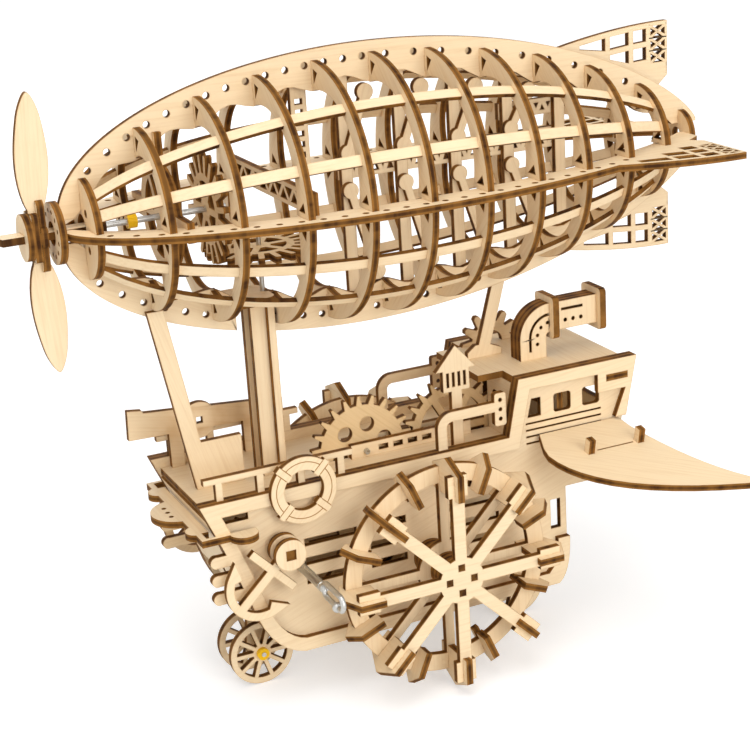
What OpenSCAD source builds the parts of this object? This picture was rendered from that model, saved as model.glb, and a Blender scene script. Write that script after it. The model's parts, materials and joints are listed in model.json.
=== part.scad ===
// Wooden airship model: a laser-cut plywood kit with a ribbed balloon over a paddle-wheel hull.
// X runs along the model with the bow and propeller at -X, +Y is the starboard side, +Z is up.
// The origin is on the floor under the paddle axle, at mid length on the centre plane.

/* [Sheet] */
// Thickness of the plywood sheet
ply = 3; // [2.8:0.1:3.2]
// Clearance on each side of a slot that takes a tenon or a plate
fit = 0.05; // [0.03:0.01:0.1]
// Radial clearance of a turning shaft in its bore
run = 0.05; // [0.02:0.01:0.09]

/* [Balloon] */
// Height of the balloon's axis above the floor
axis_z = 212; // [206:1:220]
// Radius of the largest rib
env_r = 54.7; // [53:0.1:57]
// X of the fullest section
env_peak_x = -4; // [-6:1:0]
// Length of the balloon ahead of the fullest section
env_front = 132; // [130:1:134]
// How full the rear half is, as the power of its profile
env_rear_power = 0.715; // [0.68:0.005:0.75]
// Distance of the first rib from the balloon's front
rib_front = 35; // [34:0.5:36]
// Distance from one rib to the next
rib_pitch = 25.6; // [25.2:0.1:25.8]
// Least distance of the last rib from the tail end
rib_back = 28; // [26:0.5:30]
// Width of a rib half way round its quarter
rib_mid_w = 6.5; // [6:0.1:8]
// Width of a rib at the keel and at the waterline plate
rib_end_w = 13; // [12:0.1:14]
// How far the keel and the waterline plate stand out past the ribs
proud = 4.5; // [4:0.1:5.5]
// Depth of the keel inside the ribs' outline, between ribs
keel_web = 8.5; // [8:0.1:10]
// Extra depth of the keel's scalloped inner edge at each rib
scallop = 4; // [2:0.1:5]
// Radius of the lightening holes in the keel
keel_hole_r = 1.5; // [1:0.1:1.8]
// Depth of the waterline plate inside the ribs' outline
wl_web = 9; // [8:0.1:10]
// Radius of the lightening holes in the waterline plate
wl_hole_r = 1.3; // [0.8:0.1:1.6]
// Width of a stringer strip
stringer_w = 4.5; // [3.5:0.1:5]
// Thickness of a stringer strip
stringer_t = 2; // [1.6:0.1:2.2]
// Depth of the stringers below the ribs' edge
stringer_in = 2.8; // [2.4:0.1:3]
// Angle of the stringers next to the keel, from the keel
stringer_a = 40; // [36:1:44]
// Angle of the stringers next to the waterline plate, from the keel
stringer_b = 66; // [62:1:68]

/* [Tail fins] */
// Length of the fins along the balloon
fin_l = 55; // [52:1:58]
// Distance of the fins' rear edge from the tail end
fin_back = 13; // [11:0.5:15]
// Reach of the upright fins from the axis
fin_r = 51; // [48:0.5:54]
// Reach of the tailplane from the axis
tailplane_r = 58; // [54:0.5:62]
// Width of a bar in the fins' lattice
fin_bar = 2.4; // [1.8:0.1:3]

/* [Propeller] */
// Length from the nose tip to the tail end
overall_l = 320; // [316:1:326]
// How far the nose stands out ahead of the balloon
nose_out = 23.4; // [22.5:0.1:26]
// Radius of the propeller
prop_r = 56; // [50:0.5:60]
// Greatest width of a blade
blade_w = 13; // [10:0.5:15]
// Half the height of the hub plate that holds the blades
hub_r = 9.6; // [8.5:0.1:10.5]
// Half the height of the forked hub plate behind it
clamp_r = 14.4; // [12:0.1:16]
// Radius of the front disc of the hub
spinner_r = 9.4; // [8.6:0.1:10]
// Width of the flat nose shaft
nose_w = 8; // [7:0.1:8.4]
// Radius of the steel propeller shaft
prop_shaft_r = 1.25; // [1:0.05:1.6]

/* [Gears] */
// Pitch of the teeth as the diameter for each tooth
gear_m = 2; // [2:2]
// Teeth of the two gears on the paddle axle
axle_n = 24; // [24:24]
// Teeth of the spring motor's gear
motor_n = 30; // [30:30]
// Teeth of each deck gear
deck_n = 22; // [22:22]
// Teeth of the pinion below the deck
pinion_n = 10; // [10:10]
// Teeth of the level gear and of the crown gear
crown_n = 20; // [20:20]
// Height of the spring motor's gear above the paddle axle
motor_rise = 5.5; // [5.2:0.1:5.6]
// Lean of the front deck gear ahead of the paddle axle, in degrees
deck_lean = 20; // [19.5:0.5:22]
// Radius of the upright drive shaft
drive_r = 1; // [0.8:0.05:1.2]

/* [Hull] */
// Half the beam of the hull, to the outside of the side plates
beam = 31.5; // [31:0.5:34]
// Height of the hull's bottom above the floor
hull_z0 = 24; // [23:0.5:25]
// Height of the gunwale
gunwale_z = 99; // [98:0.5:101]
// How far the deck lies below the gunwale
deck_drop = 4.5; // [4:0.5:4.5]
// Height of the cabin above the gunwale
cabin_h = 25.6; // [24:0.2:28]
// X of the stem head
bow_x = -101; // [-103:0.5:-100]
// X of the cabin's front corner
cabin_x0 = 46; // [45:0.5:48]
// X of the cabin's rear corner
cabin_x1 = 106; // [104:0.5:109]
// Width of the border frame on the hull's sides
border_w = 6; // [4.5:0.5:7]
// Length of the deck rails
rail_l = 66; // [60:1:70]
// Width of the louvre slots in the hull's sides
louvre_h = 3.4; // [2:0.2:4]

/* [Running gear] */
// Height of the paddle axle
axle_z = 54; // [53.6:0.1:55]
// Outer radius of the paddle wheels
paddle_r = 52.4; // [50:0.1:52.6]
// Y of the outer face of the paddle wheels' spoke plates
paddle_y = 65; // [64:0.5:70]
// Distance between a spoke plate and its rim plate, face to face
paddle_gap = 11; // [10:0.5:12]
// Radius of the paddle axle
axle_r = 2.5; // [2:0.1:3]
// Radius of the small wheels
wheel_r = 14.5; // [13.5:0.1:15]
// X of the front wheels
front_wheel_x = -71; // [-73:0.5:-69]
// X of the rear wheels
rear_wheel_x = 55; // [52:0.5:56]
// Distance from the centre plane to the middle of a small wheel
wheel_y = 7.3; // [7:0.1:9]
// Radius of the small wheels' axles
wheel_axle_r = 1; // [0.8:0.05:1.3]

/* [Hidden] */
$fn = 48;
eps = 0.02;
h = ply / 2;
balloon_l = overall_l - nose_out;
env_rear = balloon_l - env_front;
balloon_x0 = env_peak_x - env_front;
tail_x = env_peak_x + env_rear - 0.6;
nose_x = tail_x - overall_l;
rib_first_x = balloon_x0 + rib_front;
rib_count = floor((tail_x - rib_back - rib_first_x) / rib_pitch) + 1;
fin_x1 = tail_x - fin_back;
fin_x0 = fin_x1 - fin_l;
PORT = -1;
STARBOARD = 1;
SIDES = [PORT, STARBOARD];
BIRCH = "#EBCF9F";
BIRCH_DEEP = "#D8B27A";
STEEL = "#B9BCC0";
CAP = "#F2B40F";

// Balloon profile: half an ellipse ahead of the fullest section, a fuller power curve behind it.
function env(x) = x < env_peak_x
    ? env_r * sqrt(max(0, 1 - pow((env_peak_x - x) / env_front, 2)))
    : env_r * pow(max(0, 1 - pow((x - env_peak_x) / env_rear, 2)), env_rear_power);
function rib_x(i) = rib_first_x + rib_pitch * i;
// Stations from xa to xb, closer together towards both ends.
function stations(xa, xb, n) = [for (i = [0:n]) xa + (xb - xa) * (1 - cos(180 * i / n)) / 2];
function backwards(v) = [for (i = [len(v) - 1:-1:0]) v[i]];
function rib_wave(x) = pow(cos(180 * (x - rib_first_x) / rib_pitch), 2);

// Nose: the flat shaft turns in a gap between the upper and the lower keel.
nose_gap = norm([nose_w, ply]) / 2 + 0.6;
keel_x0 = balloon_x0 + 0.3;
keel_x1 = tail_x;
function keel_in(x) = max(nose_gap, env(x) - keel_web - scallop * rib_wave(x));
function wl_in(x) = max(nose_gap, env(x) - wl_web);

// Balloon stations
tenon = 6;
frame_lap = 14;
tail_lap = 8;
nose_frame_x = keel_x0 + 10.7;
tail_frame_x = tail_x - 8;
stringer_x0 = nose_frame_x + h;
stringer_x1 = rib_x(rib_count - 1) + h + 3;
shaft_frame_x = rib_first_x + 7.6;
girder_x = rib_x(2) + 3.8;
ladder_x = rib_x(3) - 6.8;
post_xs = [for (i = [3:rib_count - 3]) rib_x(i) + rib_pitch / 2];
collar_x = keel_x0 + 14.7;
hub_x = keel_x0 - 2.5 * ply - 1.3 - h;

// Drive train: paddle axle, spring motor, upright shaft and propeller.
axle_p = gear_m * axle_n / 2;
motor_p = gear_m * motor_n / 2;
deck_p = gear_m * deck_n / 2;
pinion_p = gear_m * pinion_n / 2;
crown_p = gear_m * crown_n / 2;
add = 0.9 * gear_m;
motor_x = -sqrt(pow(axle_p + motor_p, 2) - pow(motor_rise, 2));
motor_z = axle_z + motor_rise;
motor_y = -pinion_p;
deck_y = motor_y + 2 * ply;
deck1 = [-(axle_p + deck_p) * sin(deck_lean), axle_z + (axle_p + deck_p) * cos(deck_lean)];
deck2 = deck1 + [2 * deck_p, 0];
drive_x = motor_x;
crown_x = drive_x - crown_p;
level_z = axis_z - crown_p;
pinion_z = motor_z + motor_p;
deck_z = gunwale_z - deck_drop;

// Turns of the gears so that a tooth of one stands in a gap of the next.
function mesh(a0, na, nb, line) = line + 180 + (line - a0) * na / nb + 180 / nb;
axle_a = 0;
motor_a = mesh(axle_a, axle_n, motor_n, atan2(motor_rise, motor_x));
deck1_a = mesh(axle_a, axle_n, deck_n, 90 + deck_lean);
deck2_a = mesh(deck1_a, deck_n, deck_n, 0);
pinion_a = 270 - (motor_a - 90) * motor_n / pinion_n + 180 / pinion_n;
level_a = 180;
crown_a = 270 + 180 / crown_n;

// Hull stations
inside = beam - ply;
roof_z = gunwale_z + cabin_h;
frame_y = beam + ply;
wheel_z = wheel_r;
stern_x = 70;
mast_w = 7;
mid_x0 = rib_x(1) + 8.5;
mid_x1 = drive_x + drive_r + 0.4;
mast_x = drive_x - 1.8;
rear_mast_top_x = rib_x(6) + 3.2;
wing_z = gunwale_z - 6;
wing_droop = 12;
wing_frame_xs = [stern_x, stern_x + 25];
tab_s = 16;
tab_l = 3.6;
brace_x = cabin_x1 - 15.6;
brace_l = 10.9;
brace_z = roof_z - 8;
key_x = -58.5;
key_z = axle_z + 8;
key_r = 2;
key_end = 56;
key_l = 22;
key_t = 2.2;
drum_x = bow_x + 33.9;
drum_z = gunwale_z - 25;
drum_r = 6.8;
drum_neck = 3;
floor_x0 = bow_x + 41;
pin_r = 1.2;
beam_r = 4.2;
paddle_lap = paddle_r - 8.9;
platform_z = axis_z - env(drive_x) + 11;

// Helpers

// A flat plate in the XZ plane whose middle lies at y; the outline is drawn in X and Z.
module upright(y = 0, t = ply) {
    translate([0, y, 0]) rotate([90, 0, 0]) linear_extrude(t, center = true) children();
}

// A flat plate square to X whose middle lies at x; the outline is drawn in Y and Z.
module across(x, t = ply) {
    translate([x, 0, 0]) rotate([90, 0, 90]) linear_extrude(t, center = true) children();
}

// A flat plate square to Z whose middle lies at z; the outline is drawn in X and Y.
module level(z, t = ply) {
    translate([0, 0, z]) linear_extrude(t, center = true) children();
}

// A bar of width w from a to b, with round ends if asked.
module bar(a, b, w, round_end = false) {
    d = b - a;
    translate(a) rotate(atan2(d[1], d[0])) translate([0, -w / 2]) square([norm(d), w]);
    if (round_end) {
        translate(a) circle(d = w);
        translate(b) circle(d = w);
    }
}

module rounded(w, l, r) {
    translate([-w / 2 + r, -l / 2]) square([w - 2 * r, l]);
    translate([-w / 2, -l / 2 + r]) square([w, l - 2 * r]);
    for (x = [-1, 1], y = [-1, 1]) translate([x * (w / 2 - r), y * (l / 2 - r)]) circle(r);
}

// Spur gear outline with straight-flanked teeth.
module gear_2d(n, p, a0, tip = 1.1, root = 3.1) {
    circle(p - add - 0.4);
    for (i = [0:n - 1]) rotate(a0 + 360 * i / n)
        polygon([[p - add - 1.2, -root / 2], [p + add, -tip / 2],
            [p + add, tip / 2], [p - add - 1.2, root / 2]]);
}

// Comb gear outline: long straight teeth that also mesh at a right angle.
module comb_2d(n, p, a0, reach, depth, w = 2.5) {
    circle(p - depth + 0.3);
    for (i = [0:n - 1]) rotate(a0 + 360 * i / n)
        polygon([[p - depth, -w / 2], [p + reach - 0.6, -w / 2], [p + reach, -w / 2 + 0.6],
            [p + reach, w / 2 - 0.6], [p + reach - 0.6, w / 2], [p - depth, w / 2]]);
}

// Windows between n spokes, from radius a to radius b.
module spoke_windows(n, a, b, spoke_w) {
    difference() {
        circle(b);
        circle(a);
        for (i = [0:n - 1]) rotate(360 * i / n) translate([0, -spoke_w / 2]) square([b + 1, spoke_w]);
    }
}

// Balloon frame

module keel_band(xa, xb, n) {
    xs = stations(xa, xb, n);
    difference() {
        polygon(concat([for (x = xs) [x, env(x) + proud]], [for (x = backwards(xs)) [x, keel_in(x)]]));
        for (k = [-1:rib_count - 2]) {
            holes = k < 4 ? 3 : 2;
            for (j = [0:holes - 1]) {
                x = rib_x(k) + rib_pitch * (j + 0.5) / holes;
                if (x > xa + 8 && x < xb - 4) translate([x, env(x) + proud - 6]) circle(keel_hole_r);
            }
        }
        for (i = [0:rib_count - 1]) if (rib_x(i) > xa && rib_x(i) < xb)
            translate([rib_x(i), env(rib_x(i)) - rib_end_w / 2])
                square([ply, tenon] + [2, 2] * fit, center = true);
        for (f = [[nose_frame_x, frame_lap], [tail_frame_x, tail_lap]])
            translate([f[0] - h - fit, 0]) square([ply + 2 * fit, f[1]]);
    }
}

module keel_top() {
    color(BIRCH) translate([0, 0, axis_z]) upright() keel_band(keel_x0, keel_x1, 120);
}

module keel_bottom() {
    color(BIRCH) translate([0, 0, axis_z]) upright() mirror([0, 1]) {
        keel_band(keel_x0, mid_x0, 40);
        keel_band(mid_x1, keel_x1, 90);
    }
}

// Outer edge of a tail fin, and the lattice cut into it.
function fin_out(x, r) = env(fin_x0) + proud
    + (r - env(fin_x0) - proud) * pow(sin(90 * (x - fin_x0) / (fin_x1 - fin_x0)), 0.9);
function fin_low(x) = env(x) + proud + 1.2;
fin_row = 8;
module fin_cell(xa, xb, r, k) {
    function top(x) = fin_out(x, r) - fin_bar - k * fin_row;
    function low(x) = max(fin_low(x), top(x) - fin_row + fin_bar);
    if (top(xa) - low(xa) > 1 && top(xb) - low(xb) > 1)
        polygon([[xa, low(xa)], [xb, low(xb)], [xb, top(xb)], [xa, top(xa)]]);
}
module fin_lattice(r) {
    for (c = [[10, 23], [25.4, 35], [37.4, 44]], k = [0:3])
        fin_cell(fin_x0 + c[0], fin_x0 + c[1], r, k);
    xa = fin_x1 - 8.6;
    xb = fin_x1 - fin_bar / 2;
    n = floor((r - fin_bar / 2 - 29) / 5.6);
    for (k = [0:n - 1]) {
        z0 = r - fin_bar / 2 - (k + 1) * 5.6;
        z1 = z0 + 5;
        xm = (xa + xb) / 2;
        zm = (z0 + z1) / 2;
        polygon([[xa + 1, z0], [xb - 1, z0], [xm, zm - 0.7]]);
        polygon([[xa + 1, z1], [xm, zm + 0.7], [xb - 1, z1]]);
        polygon([[xa, z0 + 0.9], [xm - 0.9, zm], [xa, z1 - 0.9]]);
        polygon([[xb, z0 + 0.9], [xb, z1 - 0.9], [xm + 0.9, zm]]);
    }
}
module fin_outline(r, low) {
    n = 24;
    xs = [for (i = [0:n]) fin_x0 + (fin_x1 - fin_x0) * i / n];
    polygon(concat([for (x = xs) [x, fin_out(x, r)]], [[fin_x1, 27]],
        [for (x = backwards(xs)) if (x < fin_x1 - 6) [x, env(x) + low]]));
}

module waterline_plates() {
    color(BIRCH) for (s = SIDES) level(axis_z) mirror([0, s < 0 ? 1 : 0]) difference() {
        union() {
            xs = stations(keel_x0, tail_frame_x - h, 110);
            polygon(concat([for (x = xs) [x, env(x) + proud]], [for (x = backwards(xs)) [x, wl_in(x)]]));
            fin_outline(tailplane_r, 0);
        }
        fin_lattice(tailplane_r);
        for (k = [-1:rib_count - 3], j = [0:2]) {
            x = rib_x(k) + rib_pitch * (j + 0.5) / 3;
            if (x > keel_x0 + 12) translate([x, env(x) + proud - 4.2]) circle(wl_hole_r);
        }
        for (i = [0:rib_count - 1])
            translate([rib_x(i), env(rib_x(i)) - rib_end_w / 2])
                square([ply, tenon] + [2, 2] * fit, center = true);
        translate([nose_frame_x - h - fit, 0]) square([ply + 2 * fit, frame_lap]);
    }
}

module stringer(a, c = 0) {
    xs = [for (i = [0:36]) stringer_x0 + (stringer_x1 - stringer_x0) * i / 36];
    translate([0, 0, axis_z]) rotate([a, 0, 0]) upright(0, stringer_w + 2 * c)
        polygon(concat([for (x = xs) [x, env(x) - stringer_in + c]],
            [for (x = backwards(xs)) [x, env(x) - stringer_in - stringer_t - c]]));
}

// A quarter of a rib: round outside, an inner arc that leaves wide ends, a tenon at each end.
module rib_2d(i) {
    r = env(rib_x(i));
    d = r - rib_mid_w;
    e = r - rib_end_w;
    c = (d * d - e * e) / (2 * sqrt(2) * d - 2 * e);
    m = r - rib_end_w / 2;
    difference() {
        intersection() {
            circle(r, $fn = 96);
            translate([h, h]) square(r);
        }
        translate([c, c]) circle(d - c * sqrt(2));
        for (k = [0, 1]) mirror([k, -k]) {
            polygon([[3.6, e + 3.6], [3.6, r - 3.2], [7.6, r - 4.4]]);
        }
    }
    for (k = [0, 1]) mirror([k, -k])
        translate([0.05, m - tenon / 2]) square([h, tenon]);
}

module rib_quarters(up) {
    for (i = [0:rib_count - 1], s = SIDES) difference() {
        translate([0, 0, axis_z]) mirror([0, s < 0 ? 1 : 0, 0]) mirror([0, 0, up ? 0 : 1])
            across(rib_x(i)) rib_2d(i);
        for (a = [stringer_a, stringer_b]) stringer(-s * (up ? a : 180 - a), fit);
    }
}
module upper_ribs() { color(BIRCH) rib_quarters(true); }
module lower_ribs() { color(BIRCH) rib_quarters(false); }

module stringers() {
    angles = [stringer_a, stringer_b, 180 - stringer_b, 180 - stringer_a];
    color(BIRCH) for (s = SIDES, a = angles) stringer(s * a);
}

module tail_fins() {
    color(BIRCH) translate([0, 0, axis_z]) for (k = [0, 1]) upright(ply) mirror([0, k]) difference() {
        fin_outline(fin_r, 1.7);
        fin_lattice(fin_r);
    }
}

// Cross frames at the nose and the tail, and the ring that carries the propeller shaft.
module lap_slots(lap, r, keel = true, plate = true) {
    for (k = [0, 1]) mirror([0, k]) if (keel) translate([-h - fit, lap]) square([ply + 2 * fit, r]);
    for (k = [0, 1]) mirror([k, 0]) if (plate) translate([lap, -h - fit]) square([r, ply + 2 * fit]);
}
module cross_frames() {
    color(BIRCH) shaft_ring();
    color(BIRCH) translate([0, 0, axis_z]) {
        across(keel_x0 - h) difference() {
            circle(12.5);
            circle(nose_gap);
            for (k = [0:11]) rotate(30 * k + 15) translate([9.2, 0]) circle(0.9);
        }
        across(nose_frame_x) difference() {
            circle(frame_lap + 6.4);
            circle(nose_gap + 1);
            lap_slots(frame_lap, 20);
            for (k = [0:3]) rotate(90 * k + 45) translate([10.5, 0]) circle(1.6);
        }
        across(tail_frame_x) difference() {
            circle(tail_lap + 3);
            circle(3);
            lap_slots(tail_lap, 20, true, false);
        }
    }
}
module shaft_ring() {
    ko = keel_in(shaft_frame_x);
    wo = wl_in(shaft_frame_x);
    translate([0, 0, axis_z]) across(shaft_frame_x) difference() {
        union() {
            difference() {
                circle(22);
                spoke_windows(6, 6, 17, 3);
            }
            translate([-4, -ko - 4]) square([8, ko - 15]);
            translate([-4, 19]) square([8, ko - 15]);
            translate([-wo - 4, -4]) square([wo - 15, 8]);
            translate([19, -4]) square([wo - 15, 8]);
        }
        circle(prop_shaft_r + run);
        for (k = [0, 1]) mirror([0, k]) translate([-h - fit, ko - 0.6]) square([ply + 2 * fit, 10]);
        for (k = [0, 1]) mirror([k, 0]) translate([wo - 0.6, -h - fit]) square([10, ply + 2 * fit]);
    }
}

// A lattice strip from 0 to l, w high, with n triangles cut out.
module lattice_strip(l, w, n, b = 1.8) {
    difference() {
        square([l, w]);
        for (i = [0:n - 1]) {
            p = (l - b) / n;
            x = b / 2 + p * i;
            polygon([[x + b, b], [x + p - b, b], [x + p / 2, w - b - 1]]);
            if (i > 0) polygon([[x - p / 2 + b, w - b], [x, b + 1], [x + p / 2 - b, w - b]]);
        }
    }
}
module cross_girder() {
    w = wl_in(girder_x) + 3;
    color(BIRCH) translate([0, 0, axis_z + h]) across(girder_x)
        translate([-w, 0]) lattice_strip(2 * w, 9, 8);
}
module king_posts() {
    color(BIRCH) translate([0, 0, axis_z]) {
        for (x = post_xs) upright(ply)
            translate([x - 2.5, -keel_in(x) - 4]) square([5, 2 * keel_in(x) + 8]);
        upright(ply) difference() {
            translate([ladder_x - 3.5, 8]) square([7, keel_in(ladder_x) - 4]);
            for (k = [0:6]) translate([ladder_x - 1.7, 10 + 4.4 * k]) square([3.4, 2.4]);
        }
    }
}
module strut_arms() {
    color(BIRCH) translate([0, 0, axis_z]) upright() for (i = [0:len(post_xs) - 2]) {
        x = post_xs[i];
        bar([x, -2], [x + 10, 4.4 - keel_in(x + 10)], 3.4);
        translate([x + 10, 4.4 - keel_in(x + 10)]) circle(3.6);
        translate([x, -2]) circle(3.4);
        bar([x, 14], [x + 9, keel_in(x + 9) - 4.6], 3.4);
        translate([x + 9, keel_in(x + 9) - 4.6]) circle(3.6);
        translate([x, 14]) circle(3.4);
    }
}
module truss_rails() {
    n = len(post_xs) - 1;
    color(BIRCH) translate([0, 0, axis_z]) {
        upright(2 * ply) translate([post_xs[0] - 3, 2]) lattice_strip(post_xs[n] - post_xs[0] + 6, 9, 16);
        upright(2 * ply) translate([post_xs[n - 1] - 3, 17])
            lattice_strip(post_xs[n] - post_xs[n - 1] + 6, 7, 5);
    }
}
module gear_platform() {
    color(BIRCH) level(platform_z) difference() {
        translate([(rib_x(1) + rib_x(2)) / 2, 0]) rounded(rib_pitch - ply - 0.8, 22, 4);
        translate([drive_x, 0]) circle(drive_r + run);
        translate([mid_x0 - 20 + fit, -h - fit]) square([20, ply + 2 * fit]);
        translate([mid_x1 - fit, -h - fit]) square([20, ply + 2 * fit]);
    }
}

// Propeller and its shaft

module hub_slots(r) {
    square([nose_w, ply] + [2, 2] * fit, center = true);
    for (k = [0, 1]) mirror([0, k]) translate([-h - fit, 4 - fit]) square([ply + 2 * fit, r]);
}
module propeller_hub() {
    wall = 2.2;
    color(BIRCH) translate([0, 0, axis_z]) {
        across(hub_x - ply) difference() {
            circle(spinner_r);
            square([nose_w, ply] + [2, 2] * fit, center = true);
        }
        across(hub_x) difference() {
            rounded(nose_w + 2 * wall, 2 * hub_r, 1.5);
            hub_slots(hub_r);
        }
        across(hub_x + ply) difference() {
            union() {
                rounded(nose_w + 2 * wall, nose_w, 2);
                rounded(nose_w, 2 * clamp_r, 3);
            }
            hub_slots(clamp_r);
        }
    }
}
module nose_shaft() {
    color(BIRCH) level(axis_z) {
        translate([nose_x + 3, -nose_w / 2]) square([collar_x - nose_x - 3, nose_w]);
        translate([nose_x + 3, 0]) intersection() {
            translate([-3, -nose_w / 2]) square([3, nose_w]);
            translate([6, 0]) circle(9);
        }
    }
    color(BIRCH_DEEP) translate([0, 0, axis_z]) across(collar_x + h) difference() {
        circle(5);
        circle(prop_shaft_r + eps);
    }
}
module blade_2d() {
    r0 = hub_r;
    n = 20;
    function tip(s) = s > 0.8 ? sqrt(1 - pow((s - 0.8) / 0.2, 2)) : 1;
    function wide(s) = blade_w * (0.4 + 0.6 * sin(180 * pow(s, 0.8))) * tip(s);
    function mid(s) = hub_x + h + 2 * s;
    ss = [for (i = [0:n]) sin(90 * i / n)];
    translate([hub_x - h, 4]) square([2 * ply, hub_r - 3]);
    polygon(concat([for (s = ss) [mid(s) - wide(s) / 2, r0 + (prop_r - r0) * s]],
        [for (s = backwards(ss)) if (s < 1) [mid(s) + wide(s) / 2, r0 + (prop_r - r0) * s]]));
}
module propeller_blades() {
    color(BIRCH) translate([0, 0, axis_z]) for (k = [0, 1]) upright() mirror([0, k]) blade_2d();
}
module rod_x(x0, x1, r) {
    translate([x0, 0, axis_z]) rotate([0, 90, 0]) cylinder(h = x1 - x0, r = r);
}
module propeller_shaft() {
    color(STEEL) rod_x(collar_x, crown_x + 7, prop_shaft_r);
}
module shaft_bush() {
    x = collar_x + 12.6;
    color(CAP) difference() {
        rod_x(x, x + 3.8, 2.9);
        rod_x(x - 1, x + 5, prop_shaft_r + eps);
    }
}
module comb_plate(n, p, a0, depth) {
    difference() {
        comb_2d(n, p, a0, 2.5, depth);
        spoke_windows(6, 5, p - depth - 3, 3);
        children();
    }
}
module crown_gear() {
    color(BIRCH_DEEP) translate([0, 0, axis_z]) across(crown_x)
        comb_plate(crown_n, crown_p, crown_a, 5.5) circle(prop_shaft_r + eps);
}
module level_gear() {
    color(BIRCH_DEEP) translate([drive_x, 0, 0]) level(level_z)
        comb_plate(crown_n, crown_p, level_a, 5.5) circle(drive_r + eps);
}
module pinion() {
    color(BIRCH_DEEP) translate([drive_x, 0, 0]) level(pinion_z) difference() {
        comb_2d(pinion_n, pinion_p, pinion_a, 2, 3);
        circle(drive_r + eps);
    }
}
module drive_shaft() {
    color(STEEL) translate([drive_x, 0, pinion_z - 6]) cylinder(h = level_z - pinion_z + 11, r = drive_r);
}

// Masts

module front_mast() {
    x1 = bow_x + 9.5;
    top = axis_z - env(rib_first_x) - 0.4;
    d = [-14.6, 83.4] * (top - deck_z) / 83.4;
    color(BIRCH) upright(-ply) {
        polygon([[x1, deck_z], [x1 + mast_w, deck_z], [x1 + mast_w, deck_z] + d, [x1, deck_z] + d]);
        polygon([[x1 + mast_w - 0.2, deck_z], [x1 + 21.3, deck_z], [x1 + 21.3, gunwale_z + 16.2],
            [x1 + 1, gunwale_z + 16.2]]);
    }
}
module middle_mast() {
    top = platform_z - h;
    color(BIRCH) for (s = SIDES) {
        translate([mast_x - 6.5, s * 4.5 - h, deck_z]) cube([6.5, ply, top - deck_z]);
        translate([mast_x, s > 0 ? 3 : -9, deck_z]) cube([ply, 6, top - deck_z]);
    }
}
module rear_mast() {
    x1 = cabin_x0 - 1;
    top = axis_z - env(rear_mast_top_x) - 1;
    color(BIRCH) upright(ply) {
        polygon([[x1, roof_z], [x1 + 6, roof_z], [rear_mast_top_x + 6, top], [rear_mast_top_x, top]]);
        polygon([[x1 - 4, roof_z], [x1 + 13, roof_z], [x1 + 13, roof_z + 3], [x1 + 6, roof_z + 6],
            [x1, roof_z + 6], [x1 - 4, roof_z + 3]]);
    }
}

// Hull

function bend(a, b, c, n) = [for (i = [1:n - 1]) let (t = i / n)
    a * pow(1 - t, 2) + 2 * b * t * (1 - t) + c * t * t];
stem = [[bow_x, gunwale_z], [bow_x + 7, gunwale_z - 16.5], [bow_x + 9, gunwale_z - 21.5],
    [bow_x + 18.7, 51]];
bow_steps = 7;
keel_line = concat(stem, bend([bow_x + 18.7, 51], [bow_x + 25, hull_z0 + 3], [bow_x + 41, hull_z0],
    bow_steps),
    [[bow_x + 41, hull_z0], [rear_wheel_x + 9, hull_z0]],
    bend([rear_wheel_x + 9, hull_z0], [stern_x, hull_z0 + 4], [stern_x, 46], 6), [[stern_x, 46]]);
// Point i of a line moved square to it by w, to its left.
function left(a, b) = [a[1] - b[1], b[0] - a[0]] / norm(b - a);
function inset(p, i, w) = let (
    n = left(p[i - 1], p[i]),
    m = n + left(p[i], p[i + 1])
) p[i] + m * 2 * w / (m * m);
module hull_outline() {
    polygon(concat(keel_line, [[stern_x, 69], [stern_x + 14, 69], [cabin_x1 - 7, gunwale_z - 7],
        [cabin_x1, roof_z], [cabin_x0 + 0.5, roof_z], [cabin_x0 - 5, gunwale_z]]));
}
module louvres() {
    for (c = [[-56, -32], [-26, -9], [12, 36]], k = [0:2])
        translate([c[0], 72 - louvre_h / 2 - 8.7 * k]) square([c[1] - c[0], louvre_h]);
    translate([bow_x + 7.6, gunwale_z - 10.5]) square([13.7, 3]);
}
module brace_slot() {
    translate([brace_x - fit, brace_z - h - fit]) square([brace_l, ply] + [2, 2] * fit);
}
module cabin_brace() {
    level(brace_z) difference() {
        translate([brace_x, -frame_y]) square([brace_l, 2 * frame_y]);
        translate([wing_frame_xs[1] - h - fit, -inside - fit]) square([ply, 2 * inside] + [2, 2] * fit);
    }
}
module cabin_windows() {
    z0 = gunwale_z + 6;
    z1 = gunwale_z + 14.5;
    polygon([[cabin_x0 + 6, z0], [cabin_x0 + 12.6, z0], [cabin_x0 + 12.6, z1], [cabin_x0 + 8, z1]]);
    for (x = [23.4, 37.9]) translate([cabin_x0 + x, (z0 + z1) / 2]) rounded(8.6, z1 - z0, 1.4);
    for (k = [0:3]) translate([cabin_x0 + 5, gunwale_z + 2.8 - 3.05 * k]) square([38, 0.8]);
}
module hull_sides() {
    color(BIRCH) for (s = SIDES) upright(s * (beam - h)) difference() {
        hull_outline();
        louvres();
        cabin_windows();
        translate([0, axle_z]) circle(axle_r + run);
        translate([stern_x - 8, 50]) square([5, 14]);
        for (x = wing_frame_xs) translate([x - h - fit, wing_z - 9.6 - fit])
            square([ply, 9.6] + [2, 2] * fit);
        brace_slot();
        if (s == PORT) translate([key_x, key_z]) circle(key_r + run);
    }
}
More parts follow.
